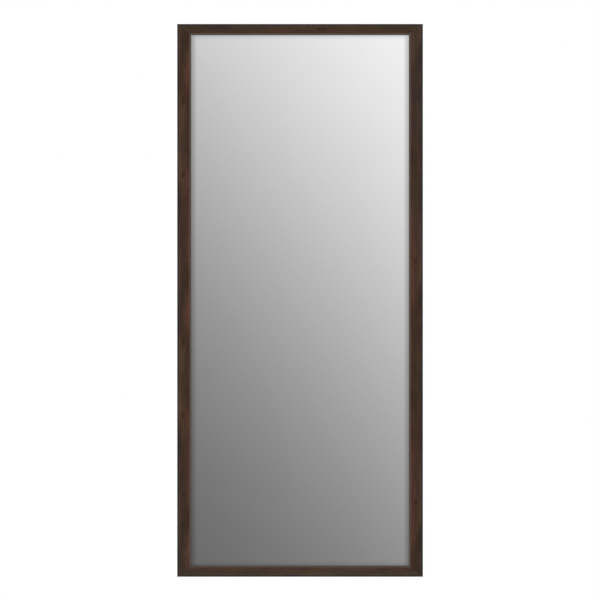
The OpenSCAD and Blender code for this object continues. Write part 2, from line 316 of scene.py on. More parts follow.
def grained(foil, colour):
    """The colour with all layers of the print. Returns its fine lines and its pores too, from 0 to 1."""
    cloud = foil.streaks(46 * MM, 130 * MM, 1.0, foil.own("cloud start"))
    cloud = foil.ramp(cloud, 0.3, 0.7, -1.0, 1.0, "LINEAR")
    colour = foil.scaled(colour, foil.plus(foil.times(cloud, foil.own("cloud")), 1.0))

    # Each growth line darkens slowly up to 0.9 of its width, and pales at once before the next
    wander = foil.times(foil.streaks(24 * MM, 170 * MM, 1.0, 23.1), growth_wander)
    growth = foil.maths("FRACT", foil.plus(foil.times(foil.bent, 1 / growth_w), wander))
    late = foil.times(foil.ramp(growth, 0.25, 0.9), foil.ramp(growth, 1.0, 0.93))
    colour = foil.scaled(colour, foil.ramp(late, 0.0, 1.0, 1.05, 0.86, "LINEAR"))

    fine = foil.streaks(1.1 * MM, 45 * MM, 2.0, 17.3)
    for layer in (foil.streaks(9 * MM, 70 * MM, 2.0, 11.3), fine):
        colour = foil.scaled(colour, foil.ramp(layer, 0.3, 0.7, 0.84, 1.16, "LINEAR"))
    pore = foil.ramp(foil.streaks(0.45 * MM, 8 * MM, 1.0, 5.1), 0.56, 0.66)
    return foil.scaled(colour, foil.minus(1.0, foil.times(pore, 0.32))), fine, pore


print(f"growth lines {growth_w / MM} mm apart before they wander")

# %% [markdown]
# ## Lacquer
# Over the print lies a tinted lacquer whose hue drifts along a member, from olive to red and from grey to
# golden. One noise could only move both together, so each drift has its own. They don't repeat, because
# they come from the lacquering and not from the roll.

# %% Lacquer
drifts = {
    "red": ((0.93, 1.03, 1.0, 1.0), (1.07, 0.97, 1.0, 1.0)),
    "gold": ((1.0, 1.0, 1.2, 1.0), (1.0, 1.0, 0.83, 1.0)),
}
drift_w, drift_l = 52 * MM, 220 * MM


def lacquered(foil, colour):
    """The colour under lacquer that drifts in hue."""
    for drift, tints in drifts.items():
        at = foil.with_grain(drift_w, drift_l, foil.own(drift + " start"), foil.run)
        tint = foil.mix(foil.ramp(foil.noise(at, 1.0), 0.34, 0.66), *tints)
        colour = foil.mix(foil.own(drift), colour, tint, "MULTIPLY")
    return foil.mix(1.0, colour, foil.mix(foil.on_second, *foil.looks["tint"]), "MULTIPLY")


print(f"hue drifts over about {drift_l / MM:.0f} mm")

# %% [markdown]
# ## The wrapped foil
# The foil is redder at the inner edge and greyer at the outer one. The lip is drawn pale, a painted sheen
# where its slope catches the light, and the rounded outer edge dark, a painted shade where light falls
# off it. Strips of other colours would have hard borders, so these tones are mixed by the distance from
# the middle of the mirror.

# %% The wrapped foil
inner_tone, flat_tone, outer_tone = seen(71, 43, 34), seen(64, 45, 31), seen(64, 48, 40)
# The pale lip colour is a painted sheen, and the dark edge colour a painted shade
painted_lip_sheen, painted_edge_shade, halo_tint = seen(94, 84, 74), seen(27, 21, 18), (1.3, 1.18, 1.12, 1.0)


def wrapped_foil(name, along, inner, outer, slope, looks, knots):
    """The foil of members between an inner and an outer edge, with a slope that wide at the lip."""
    foil = PrintedFoil(name, along, inner, looks)
    knot, halo, rings = knotted(foil, knots)
    outward = foil.ramp(foil.from_middle, inner, outer, shape="LINEAR")
    colour = foil.mix(foil.ramp(outward, 0.12, 0.5), inner_tone, flat_tone)
    colour = foil.mix(foil.ramp(outward, 0.6, 0.92), colour, outer_tone)
    colour, fine, pore = grained(foil, lacquered(foil, colour))
    for mark, darkness in ((knot, 0.46), (rings, 0.22)):
        colour = foil.scaled(colour, foil.minus(1.0, foil.times(mark, darkness)))
    colour = foil.mix(halo, colour, foil.mix(1.0, colour, halo_tint, "MULTIPLY"))

    # Painted sheen: the lip's slope is drawn paler, as if it caught the light
    lip = foil.ramp(foil.from_middle, inner + 1.4 * slope, inner + 0.6 * slope, 0.0, 0.85)
    colour = foil.mix(lip, colour, painted_lip_sheen)
    # Painted shade: the rounded outer edge is drawn dark where light falls off it, and less so down the
    # side
    round_edge_shade = foil.ramp(foil.from_middle, outer - 5 * MM, outer - 3.6 * MM, 0.0, 0.86)
    down_side = foil.ramp(foil.y, front_y + 2 * MM, front_y + 11 * MM, 1.0, 0.45)
    colour = foil.mix(foil.times(round_edge_shade, down_side), colour, painted_edge_shade)
    blur = foil.ramp(fine, 0.25, 0.75, 0.4, 0.52)
    return foil.done(colour, blur, foil.minus(fine, pore), 0.035 * MM)


print("the flat face in linear light:", *(round(part, 3) for part in flat_tone[:3]))

# %% [markdown]
# ## Looks of the four members
# In the photograph the four members differ, as lengths cut from different places of a sheet do, and the
# right stile is drawn darker as well, a painted shade set against the key lamp that lights it more. Four
# materials could be mixed, but one recipe with pairs of settings is shorter: a tint, how strongly the
# member clouds and drifts, and where in the noise each of its patterns starts.

# %% Looks of the four members
stile_looks = {
    # The right stile's darker tint is partly painted shade, set against the key lamp that lights the
    # right side more
    "tint": ((1.06, 1.045, 1.035, 1.0), (0.897, 0.913, 0.946, 1.0)),
    "cloud": (0.39, 0.37), "cloud start": (753.661, 43.86),
    "red": (0.52, 1.0), "red start": (440.793, 700.298),
    "gold": (0.72, 0.54), "gold start": (646.204, 951.031),
}
rail_looks = {
    "tint": ((0.953, 1.187, 1.219, 1.0), (0.939, 1.067, 1.105, 1.0)),
    "cloud": (0.17, 0.235), "cloud start": (868.428, 623.543),
    "red": (0.25, 1.0), "red start": (179.095, 995.622),
    "gold": (0.3, 0.95), "gold start": (463.454, 936.411),
}
slope_w = 3.2 * MM
stile_slope_w = slope_w * stile_w / rail_w
stile_foil = wrapped_foil("upright_foil", "Z", stile_in, half_w, stile_slope_w, stile_looks, stile_knots)
rail_foil = wrapped_foil("level_foil", "X", rail_in, half_h, slope_w, rail_looks, rail_knots)
for foil in (stile_foil, rail_foil):
    print(f"{len(foil.node_tree.nodes)} nodes in the {foil.name}")

# %% [markdown]
# ## Boards
# The moulding's core is fibreboard, pale and felty where it is cut. The back is hardboard: the same
# fibres, pressed dark and nearly smooth. One stretched noise would lay all fibres one way, so several are
# turned and cut down to sparse flecks, over broad clouds from the press.

# %% Boards


def flecks(board, length, width, turns):
    """Sparse short fibres in the plane of the back, lying several ways, from 0 to 1."""
    strongest = 0.0
    for turn in turns:
        fibres = board.noise(board.stretched((length, width, width), turn), detail=1.0)
        strongest = board.maths("MAXIMUM", strongest, board.ramp(fibres, 0.56, 0.76))
    return strongest


def pressed_board(name, dark, light, fibre, roughness, felt):
    """Fibreboard of two tones; fibre is the size of its flecks and felt their height, both in metres."""
    board = Finish(name, specular=0.3)
    pale = flecks(board, 7 * fibre, fibre, (8, 67, 124, 158))
    deep = flecks(board, 9 * fibre, 0.8 * fibre, (31, 95, 140))
    cloud = board.noise(board.stretched(90 * MM), detail=5.0, roughness=0.6)
    tone = board.ramp(cloud, 0.25, 0.75, 0.34, 0.66, "LINEAR")
    tone = board.minus(board.plus(tone, board.times(pale, 0.34)), board.times(deep, 0.42))
    blur = board.ramp(pale, 0.0, 1.0, roughness, roughness + 0.1)
    return board.done(board.mix(tone, dark, light), blur, board.minus(pale, deep), felt)


raw_board = pressed_board(
    "raw_fibreboard", seen(146, 116, 84), seen(186, 155, 118), 0.22 * MM, 0.85, 0.05 * MM,
)
finishes = {
    "hardboard": pressed_board(
        "hardboard", seen(104, 75, 51), seen(156, 119, 83), 0.35 * MM, 0.55, 0.025 * MM,
    ),
}
print(f"{len(raw_board.node_tree.nodes)} nodes in a board")

# %% [markdown]
# ## Metals
# Plated and bare steel differ in tone and in how blurred they mirror, and little else, so one recipe
# mixes all four. An even grey would be simpler but look like paint. Here clouds from the plating bath
# tint the metal, spots dull it, and fine draw lines change its roughness, so that a highlight breaks up
# as it crosses a piece.

# %% Metals


def steel(name, tone, tint, roughness, lines, cloud_size=7 * MM, line_l=40 * MM):
    """Steel of one tone clouded with another; lines is how much its draw lines change the roughness."""
    metal = Finish(name, metallic=1.0)
    cloud = metal.noise(metal.stretched(cloud_size), detail=3.0, roughness=0.6)
    drawn = metal.noise(metal.stretched((line_l, 0.25 * MM, 0.25 * MM)), detail=2.0)
    spot = metal.ramp(metal.noise(metal.stretched(1.4 * MM), detail=2.0), 0.62, 0.74)
    colour = metal.mix(metal.ramp(cloud, 0.35, 0.65), tone, tint)
    colour = metal.scaled(colour, metal.ramp(spot, 0.0, 1.0, 1.0, 0.8, "LINEAR"))
    blur = metal.ramp(drawn, 0.3, 0.7, roughness - lines, roughness + lines, "LINEAR")
    return metal.done(colour, metal.plus(blur, metal.times(spot, 0.12)), drawn, 0.004 * MM)


finishes["zinc_sheet"] = steel("zinc_plated_sheet", seen(206, 208, 209), seen(186, 190, 197), 0.34, 0.08)
finishes["zinc_wire"] = steel("zinc_plated_wire", seen(212, 213, 212), seen(190, 193, 198), 0.27, 0.05)
finishes["screw_steel"] = steel(
    "yellow_zinc_screw", seen(222, 207, 170), seen(200, 194, 183), 0.3, 0.07, 2.6 * MM, 1.5 * MM,
)
finishes["spring_steel"] = steel("spring_steel", seen(156, 158, 162), seen(128, 129, 134), 0.38, 0.06)
print("metals mixed for", *(slot for slot in finishes if slot != "hardboard"))

# %% [markdown]
# ## Rubber and foam
# Both are black and dull, so one dark colour would make them the same. Moulded rubber is smooth with a
# bloom of grey dust, which a noise gives. Foam tape shows its cut cells, which a Voronoi pattern draws as
# dents.

# %% Rubber and foam


def soft_black(name, base, bloom, pitch, depth, cells):
    """Black rubber or foam; pitch is the size of its grain and depth the height of it, in metres."""
    soft = Finish(name, specular=0.3)
    if cells:
        grain = soft.add("ShaderNodeTexVoronoi", {"Vector": soft.stretched(pitch), "Scale": 1.0})
    else:
        grain = soft.noise(soft.stretched(pitch), detail=3.0)
    dust = soft.noise(soft.stretched(9 * MM), detail=5.0, roughness=0.65)
    colour = soft.mix(soft.ramp(dust, 0.4, 0.75), base, bloom)
    return soft.done(colour, soft.ramp(dust, 0.3, 0.7, 0.62, 0.85), grain, depth)


cell_size = 0.8 * MM
finishes["rubber"] = soft_black(
    "moulded_rubber", seen(34, 34, 35), seen(58, 57, 56), 0.6 * MM, 0.03 * MM, cells=False,
)
finishes["foam"] = soft_black(
    "foam_tape", seen(40, 40, 41), seen(60, 60, 60), cell_size, 0.2 * MM, cells=True,
)
print(f"rubber mixed, and foam with cells {cell_size / MM} mm wide")

# %% [markdown]
# ## Silver, rim and back paint
# A mirror shows the studio and no colour of its own: its silver sends nearly all light back, takes a
# trace of green from the glass and is blurred here and there by a faint wipe mark. A Glass shader 4 mm
# before the silver would change nothing at this distance, so the front surface mirrors. The ground rim
# and the painted back are finishes on the same sheet.

# %% Silver, rim and back paint
silver_light = 0.92
silver = Finish("silvered_glass", metallic=1.0)
wipe = silver.noise(silver.stretched((320 * MM, 90 * MM, 45 * MM), 24), detail=4.0)
silver_tones = (0.918, 0.921, 0.919, 1.0), (0.924, 0.925, 0.924, 1.0)
silver_tone = silver.mix(silver.ramp(wipe, 0.3, 0.7), *silver_tones)


def two_toned(name, pitch, tones, roughness, specular):
    """A finish that goes from one tone and roughness to another with a single noise."""
    finish = Finish(name, specular=specular)
    share = finish.noise(finish.stretched(pitch), detail=3.0)
    return finish.done(finish.mix(share, *tones), finish.ramp(share, 0.3, 0.7, *roughness))


green_rim = seen(120, 150, 138), seen(160, 182, 172)
grey_paint = seen(96, 104, 104), seen(112, 120, 119)
sheet_finishes = (
    silver.done(silver_tone, silver.ramp(wipe, 0.35, 0.75, 0.004, 0.02)),
    two_toned("ground_glass_rim", 0.7 * MM, green_rim, (0.35, 0.6), 0.5),
    two_toned("mirror_back_paint", (90 * MM, 2 * MM, 3 * MM), grey_paint, (0.4, 0.55), 0.4),
)
print(f"{len(sheet_finishes)} finishes, of which the silver sends back {silver_light:.0%} of the light")

# %% [markdown]
# ## Mesh helpers
# Most pieces are rings of corners, one behind the other, with faces between them and a cap at each end.
# Blender's primitives could be pulled into such shapes, but rings say each size outright. These helpers
# skin the rings, weld corners that meet and turn all faces outwards.

# %% Mesh helpers
weld_gap = 0.002 * MM


def in_scene(name, data):
    """A new object in the scene."""
    made = bpy.data.objects.new(name, data)
    bpy.context.scene.collection.objects.link(made)
    return made


def mesh_of(name, corners, faces=(), edges=()):
    """A new mesh."""
    made = bpy.data.meshes.new(name)
    made.from_pydata(corners, edges, faces)
    return made


def welded(mesh, flat=0.0):
    """Joins corners that lie together and turns faces outwards. Edges that bend less than flat go."""
    work = bmesh.new()
    work.from_mesh(mesh)
    bmesh.ops.remove_doubles(work, verts=work.verts, dist=weld_gap)
    if flat:
        bmesh.ops.dissolve_limit(work, angle_limit=math.radians(flat), verts=work.verts, edges=work.edges)
    bmesh.ops.recalc_face_normals(work, faces=work.faces)
    work.to_mesh(mesh)
    work.free()
    return mesh


def angles(start, sweep, steps):
    """The angles at the ends of equal steps, from a start and over a sweep in degrees."""
    return [math.radians(start + sweep * i / steps) for i in range(steps + 1)]


def bands(rings):
    """The faces between each ring of corner numbers and the next."""
    return [
        corners for one, two in zip(rings, rings[1:])
        for corners in zip(one, (*one[1:], one[0]), (*two[1:], two[0]), two)
    ]


def skinned(name, rings, capped=True):
    """A welded mesh over rings of corners, capped with its first and its last ring."""
    count = len(rings[0])
    numbers = [tuple(range(count * i, count * i + count)) for i in range(len(rings))]
    caps = [numbers[0], numbers[-1]] if capped else []
    return welded(mesh_of(name, [corner for ring in rings for corner in ring], bands(numbers) + caps))


print(f"corners less than {weld_gap / MM} mm apart are welded")

# Modifiers could stay on the objects, but here each mesh goes through them once and comes out plain: a
# Bevel, then a Weighted Normal so that broad faces don't look bulged. `piece` says which body it rides
# on and which node it stands for, and takes its finish from its slot when it has none.

# %% Finishing a piece
crisp = 32


def through(mesh, kind, values=None, **settings):
    """Puts a mesh through one modifier and returns the plain mesh that comes out.
    values are the inputs of a Geometry Nodes tree by name, set by their identifiers."""
    stock = in_scene("stock", mesh)
    modifier = stock.modifiers.new(kind.lower(), kind)
    for name, value in settings.items():
        setattr(modifier, name, value)
    if values:
        for item in modifier.node_group.interface.items_tree:
            if item.in_out == "INPUT" and item.name in values:
                modifier[item.identifier] = values[item.name]
    made = bpy.data.meshes.new_from_object(stock.evaluated_get(bpy.context.evaluated_depsgraph_get()))
    bpy.data.objects.remove(stock)
    return made


def smooth(mesh, sharp=crisp):
    """Shades curves smooth, and keeps edges sharper than that many degrees."""
    mesh.shade_smooth()
    mesh.set_sharp_from_angle(angle=math.radians(sharp))
    return mesh


def eased(mesh, width):
    """Rounds the crisp edges of a welded mesh, and keeps its broad faces flat."""
    limits = {"limit_method": "ANGLE", "angle_limit": math.radians(crisp)}
    rounded = through(smooth(mesh), "BEVEL", width=width, segments=2, **limits)
    return through(smooth(welded(rounded), 180), "WEIGHTED_NORMAL")


def piece(name, mesh, body, slot, node):
    """Hangs a finished mesh in the scene, on its body and in place of its CAD node."""
    if not mesh.materials:
        mesh.materials.append(finishes[slot])
    made = in_scene(name, mesh)
    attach(made, body)
    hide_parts(node)
    size = " x ".join(f"{side / MM:.1f}" for side in made.dimensions)
    print(f"{name}: {len(mesh.polygons)} faces, {size} mm")


print(f"edges that bend more than {crisp} degrees are eased")

# %% [markdown]
# ## Rules as trees
# How a member is mitred, how fasteners are set out and how a wire follows a path are rules rather than
# shapes. Loops could do them, but a Geometry Nodes tree can be opened and tried in Blender, and its
# inputs have names. Every tree ends in Realize Instances and Set Material, so that plain mesh with its
# finish comes out.

# %% A tree with named inputs


class Rule(Wiring):
    """A Geometry Nodes tree with named inputs, each given with its kind."""

    def __init__(self, name, inputs):
        super().__init__(bpy.data.node_groups.new(name, "GeometryNodeTree"))
        for label, kind in {"Geometry": "Geometry", **inputs}.items():
            self.tree.interface.new_socket(label, in_out="INPUT", socket_type="NodeSocket" + kind)
        self.tree.interface.new_socket("Geometry", in_out="OUTPUT", socket_type="NodeSocketGeometry")
        self.given = self.tree.nodes.new("NodeGroupInput").outputs

    def close(self, geometry, **finish_where):
        """Ends the tree. Each finish goes, by its input's name, where its selection is."""
        dressed = self.add("GeometryNodeRealizeInstances", {"Geometry": geometry})
        for finish, where in finish_where.items():
            inputs = {"Geometry": dressed, "Selection": where, "Material": self.given[finish]}
            dressed = self.add("GeometryNodeSetMaterial", inputs)
        self.end("NodeGroupOutput", dressed)
        print(f"{len(self.tree.nodes)} nodes in the tree {self.tree.name}")


ways = [way for way in dir(Rule) if not way.startswith("_")]
print(f"{len(ways)} ways to wire a tree")

# %% [markdown]
# ## Mitred member
# A moulding is one section drawn out and sawn at both ends. It could be modelled point by point, but its
# rule is short: a point further in from the outer edge ends earlier, by its distance times the ratio of
# the widths. That cut isn't at 45 degrees, because the stiles are wider than the rails. The board gets
# its own finish where no foil covers it.

# %% Mitred member tree
hair = 0.05 * MM
member = Rule("Mitred member", {
    "Half length": "Float", "Outer edge": "Float", "Rise": "Float", "Lip depth": "Float",
    "Foil turn": "Float", "Foil": "Material", "Board": "Material",
})
given = member.given
foot = member.join(0.0, 0.0, member.times(given["Half length"], -1.0))
reach = member.join(0.0, 0.0, member.times(given["Half length"], 2.0))
section = member.add("GeometryNodeTransform", {"Geometry": given["Geometry"], "Translation": foot})
drawn_out = member.add("GeometryNodeExtrudeMesh", {"Mesh": section, "Offset": reach, "Individual": False})
end = member.add("GeometryNodeFlipFaces", {"Mesh": section})
whole = member.add("GeometryNodeJoinGeometry", {"Geometry": [drawn_out, end]})
whole = member.add("GeometryNodeMergeByDistance", {"Geometry": whole, "Distance": 0.1 * hair})
x, y, z = member.split(member.add("GeometryNodeInputPosition"))
inward = member.minus(given["Outer edge"], x)
lost = member.maths("DIVIDE", member.times(inward, given["Rise"]), given["Half length"])
cut = member.join(x, y, member.times(z, member.minus(1.0, lost)))
sawn = member.add("GeometryNodeSetPosition", {"Geometry": whole, "Position": cut})
behind_lip = member.maths("GREATER_THAN", y, member.minus(given["Lip depth"], hair))
inside_foil = member.maths("GREATER_THAN", inward, member.minus(given["Foil turn"], hair))
member.close(sawn, Foil=True, Board=member.times(behind_lip, inside_foil))

# %% [markdown]
# ## Stiles and rails
# The section is what a cutter leaves: a rounded outer edge, a flat face, a slope down to the lip and a
# rabbet behind it for the glass. Four models could drift apart, and four turns of one section can't. It
# is wider on the stiles by the ratio of the mitre, so that all its lines meet there.

# %% Stiles and rails
rabbet_w, lip_y, slope_d = 10 * MM, front_y + 7.5 * MM, 3.6 * MM
edge_r, edge_steps = 3 * MM, 12
back_bevel, foil_turn = 1 * MM, 5 * MM
land_share = (rail_w - rabbet_w) / rail_w


def moulding_section(outer, width):
    """The section at the right of the frame, as one flat face on X and Y."""
    wider, land = width / rail_w, width * land_share
    corners = [
        (outer - edge_r * wider * (1 - math.sin(angle)), front_y + edge_r * (1 - math.cos(angle)))
        for angle in angles(0, 90, edge_steps)
    ]
    corners += [
        (outer, back_y - back_bevel), (outer - back_bevel * wider, back_y), (outer - foil_turn, back_y),
        (outer - land, back_y), (outer - land, lip_y), (outer - width, lip_y),
        (outer - width, front_y + slope_d), (outer - width + slope_w * wider, front_y),
    ]
    return mesh_of("section", [(*corner, 0.0) for corner in corners], [range(len(corners))])


stiles = half_w, stile_w, half_h, rail_w, stile_foil
rails = half_h, rail_w, half_w, stile_w, rail_foil
members = {"stile_right": stiles, "rail_top": rails, "stile_left": stiles, "rail_bottom": rails}
for quarter, (node, (outer, width, half_length, other_w, foil)) in enumerate(members.items()):
    mesh = through(moulding_section(outer, width), "NODES", node_group=member.tree, values={
        "Half length": half_length, "Outer edge": outer, "Rise": other_w / width, "Lip depth": lip_y,
        "Foil turn": foil_turn, "Foil": foil, "Board": raw_board,
    })
    mesh.transform(Matrix.Rotation(math.radians(-90 * quarter), 4, "Y"))
    piece(node + "_moulding", eased(welded(mesh), 0.2 * MM), "frame", "frame_wood", node)

# %% [markdown]
# ## Bevel
# The bevel is a wide, shallow arc without a step to the face, so it shows only as a soft darker band. A
# Bevel modifier would leave mitre lines in the corners, where the polishing wheel has blended it. So each
# place adds up a depth for both directions, less a share where they meet, on a grid whose lines crowd
# together over the bevel.

# %% Bevel
bevel_w, bevel_d, bevel_steps = 30 * MM, 1.5 * MM, 32
bevel_r = (bevel_w**2 + bevel_d**2) / (2 * bevel_d)


def crowded(low, high):
    """The grid's places between two edges, crowded over the bevel."""
    insets = [bevel_w * i / bevel_steps for i in range(bevel_steps + 1)]
    return [low + inset for inset in insets] + [high - inset for inset in reversed(insets)]


def ground(place, low, high):
    """How deep the wheel grinds at a place between two edges."""
    into = max(0.0, bevel_w - min(place - low, high - place))
    return bevel_r - math.sqrt(bevel_r**2 - into**2)


print(f"bevel ground to an arc of {bevel_r:.2f} m")

# %% [markdown]
# ## Mirror sheet
# One sheet has three surfaces: the silvered front with its bevel, the ground rim with eased edges, and
# the painted back. They could be three meshes, but glass is one closed body. So the grid's border is
# carried down the rim, and faces take their finish by number.

# %% Mirror sheet
glass_arris = 0.3 * MM


def bevelled_sheet(low, high):
    """The sheet between two corners: front, rim and back."""
    xs, zs = crowded(low.x, high.x), crowded(low.z, high.z)
    corners = []
    for z in zs:
        for x in xs:
            a, b = ground(x, low.x, high.x), ground(z, low.z, high.z)
            corners.append((x, low.y + a + b - a * b / (2 * bevel_d), z))
    rows = [range(len(xs) * j, len(xs) * (j + 1)) for j in range(len(zs))]
    front = []
    for one, two in zip(rows, rows[1:]):
        front += zip(one, one[1:], two[1:], two)

    right, left = [row[-1] for row in rows[1:-1]], [row[0] for row in rows[-2:0:-1]]
    rings = [[*rows[0], *right, *reversed(rows[-1]), *left]]
    for y, inset in ((high.y - glass_arris, 0.0), (high.y, glass_arris)):
        start = len(corners)
        for x, _, z in [corners[corner] for corner in rings[0]]:
            x = min(max(x, low.x + inset), high.x - inset)
            z = min(max(z, low.z + inset), high.z - inset)
            corners.append((x, y, z))
        rings.append(range(start, len(corners)))
    rim = bands([list(ring) for ring in rings])
    mesh = mesh_of("mirror_sheet", corners, front + rim + [rings[-1]])
    mesh.polygons.foreach_set("material_index", [0] * len(front) + [1] * len(rim) + [2])
    for finish in sheet_finishes:
        mesh.materials.append(finish)
    return smooth(welded(mesh))


piece("mirror_sheet", bevelled_sheet(*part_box("mirror_glass")), "frame", "mirror", "mirror_glass")

# %% [markdown]
# ## Hardboard back
# A plain cut board closes the frame behind the glass, flat with eased edges. A cube with a Bevel would
# do, but a stack of four rectangles, the outer two a little smaller, is as short and needs no modifier.

# %% Hardboard back
edge = 0.35 * MM
low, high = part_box("backing_board")
rings = []
for inset, y in ((edge, low.y), (0.0, low.y + edge), (0.0, high.y - edge), (edge, high.y)):
    left, right, bottom, top = low.x + inset, high.x - inset, low.z + inset, high.z - inset
    rings.append([(left, y, bottom), (right, y, bottom), (right, y, top), (left, y, top)])
piece("hardboard_back", smooth(skinned("hardboard_back", rings)), "frame", "hardboard", "backing_board")

# %% [markdown]
# ## Places
# Points, screws and nails are four shapes, each made once and set out many times. The places of points
# and screws could be listed, but the CAD has them: a group is one node of separate solids, and the middle
# of each solid's box is a place. Corners joined by edges belong to one solid, so a walk along the edges
# finds it.

# %% Places


def solids(node):
    """The lowest and highest corners of each separate solid of a CAD node."""
    work = bmesh.new()
    work.from_mesh(welded(frame["nodes"][node].data.copy()))
    left, found = set(work.verts), []
    while left:
        solid, ahead = [], [left.pop()]
        while ahead:
            corner = ahead.pop()
            solid.append(corner.co)
            near = {edge.other_vert(corner) for edge in corner.link_edges} & left
            left -= near
            ahead += near
        found.append([Vector(pick(place[i] for place in solid) for i in range(3)) for pick in (min, max)])
    work.free()
    return sorted(found, key=lambda box: (round(box[0].z, 5), round(box[0].x, 5)))


def middle(low, high, y):
    """The middle of a box, at a depth of its own."""
    return (low.x + high.x) / 2, y, (low.z + high.z) / 2


for node in ("points_right", "points_top"):
    print(f"{len(solids(node))} solids in {node}")

# %% [markdown]
# ## Setting out
# Fasteners could be copied by hand. This tree puts one on each place instead and turns it about the depth
# axis, by the way its side faces and by chance, since no two screws stop at the same angle. The chance
# has a fixed seed, so every run gives the same turns.

# %% The tree that sets out
row = Rule("Fasteners in a row", {
    "Fastener": "Object", "Facing": "Float", "Chance turn": "Float", "Seed": "Int", "Finish": "Material",
})
given = row.given
one = row.add("GeometryNodeObjectInfo", {"Object": given["Fastener"]}, "Geometry")
turns = {2: row.times(given["Chance turn"], -1.0), 3: given["Chance turn"], "Seed": given["Seed"]}
chance = row.add("FunctionNodeRandomValue", turns, 1, data_type="FLOAT")
facing = row.join(0.0, row.plus(given["Facing"], chance), 0.0)
spots = {"Points": given["Geometry"], "Instance": one, "Rotation": facing}
row.close(row.add("GeometryNodeInstanceOnPoints", spots), Finish=True)


def set_out(name, places, pattern, slot, node, facing=0.0, chance_turn=0.0, seed=0):
    """Puts the pattern's mesh on every place as one piece."""
    fastener = in_scene("pattern", pattern)
    mesh = through(mesh_of("places", places), "NODES", node_group=row.tree, values={
        "Fastener": fastener, "Facing": facing, "Chance turn": chance_turn, "Seed": seed,
        "Finish": finishes[slot],
    })
    bpy.data.objects.remove(fastener)
    piece(name, smooth(mesh), "frame", slot, node)


# %% [markdown]
# ## Retaining points
# The back is held by thin steel points shot flat into the rabbet wall. What shows is a blunt tab on the
# board, its end lifted for a finger to bend it up. A Solidify modifier could thicken a line seen from its
# edge, but not let its width fall to a point, so a function takes the line, the half widths along it and
# the thickness. V nails and straps use it too.

# %% Retaining points


def bent_strip(name, line, half_widths, thickness):
    """Sheet along a line of (z, y) points, its width along X."""
    rings = []
    for i, ((z, y), w) in enumerate(zip(line, half_widths)):
        before, after = Vector(line[max(i - 1, 0)]), Vector(line[min(i + 1, len(line) - 1)])
        along = (after - before).normalized()
        off = Vector((-along.y, along.x)) * thickness / 2
        near, far = (y + off.y, z + off.x), (y - off.y, z - off.x)
        rings.append([(-w, *near), (w, *near), (w, *far), (-w, *far)])
    return skinned(name, rings)


low, high = solids("points_right")[0]
tab_l, tab_t, tab_w = high.x - low.x, high.y - low.y, high.z - low.z
tab_lift, curl_l = 0.9 * MM, 3 * MM
blunt_by, blunt_share = 0.9 * MM, 0.12
line, half_widths = [], []
for share in (0.0, 0.03, 0.07, blunt_share, 0.2, 0.5, 0.8, 0.9, 1.0):
    at = -tab_l / 2 + share * tab_l
    line.append((at, tab_t / 2 + tab_lift * max(0.0, 1 - share * tab_l / curl_l) ** 2))
    half_widths.append(min(tab_w / 2 - blunt_by * max(0.0, 1 - share / blunt_share) ** 2, tab_l / 2 - at))
tab = bent_strip("retaining_point", line, half_widths, tab_t)
tab.transform(Matrix.Rotation(math.radians(90), 4, "Y"))
for quarter, side in enumerate(("right", "top", "left", "bottom")):
    node = "points_" + side
    places = [middle(low, high, low.y) for low, high in solids(node)]
    set_out(
        "retaining_" + node, places, tab, "spring_steel", node,
        facing=math.radians(-90 * quarter), chance_turn=math.radians(1.5), seed=quarter,
    )

# %% [markdown]
# ## Turning a screw
# A screw is turned, so its outline goes round an axis, as a Screw modifier would take it. Code can let
# the radius fall along a helix at the same time, and that is the thread. It stays inside the shank's
# diameter, because the hole in the wood is that wide.

# %% Outline and thread
head_d, shank_d, screw_l = 7.6 * MM, 4 * MM, 15 * MM
thread_pitch, thread_depth, neck_l = 1.4 * MM, 0.5 * MM, 2.2 * MM
tip_r, tip_slope, tip_bare = 0.25 * MM, 0.7, 0.2 * MM


def turned(name, outline, sides=24, thread=None):
    """Turns an outline of (radius, y) points about Y. thread(y, share of a turn) comes off the radius."""
    rings = []
    for radius, y in outline:
        ring = []
        for share in (i / sides for i in range(sides)):
            r, angle = radius - (thread(y, share) if thread else 0.0), 2 * math.pi * share
            ring.append((r * math.cos(angle), y, r * math.sin(angle)))
        rings.append(ring)
    return skinned(name, rings, capped=False)


def thread_below(start):
    """How much a thread that begins at y = start takes off, at a height and a share of a turn."""
    def taken(y, share):
        if y > start or y < tip_bare - screw_l:
            return 0.0
        return thread_depth * abs(2 * ((y / thread_pitch - share) % 1.0) - 1) ** 0.7
    return taken


print(f"thread of {thread_pitch / MM:.1f} mm pitch on a {shank_d / MM:.0f} mm shank")

# %% [markdown]
# ## Cross recess
# The driver's cross narrows as it goes in. A dark cross in the material would look flat from the side, so
# a Boolean cuts a tapered one, once for each kind of head, before the screws are set out.

# %% Cross recess
recess_l, recess_w, recess_d = 4.56 * MM, 1 * MM, 1.3 * MM


def tapered_cross(top):
    """The cutter of a cross recess, its mouth at y = top."""
    rings, quarters = [], ((1, 0), (0, 1), (-1, 0), (0, -1))
    for y, arm, half in (
        (top + recess_d, 0.5 * recess_l, 0.62 * recess_w),
        (top - recess_d, 0.32 * recess_l, 0.36 * recess_w),
    ):
        corner = ((half, -half), (arm, -half), (arm, half))
        rings.append([(u * c - v * s, y, u * s + v * c) for c, s in quarters for u, v in corner])
    return skinned("cutter", rings)


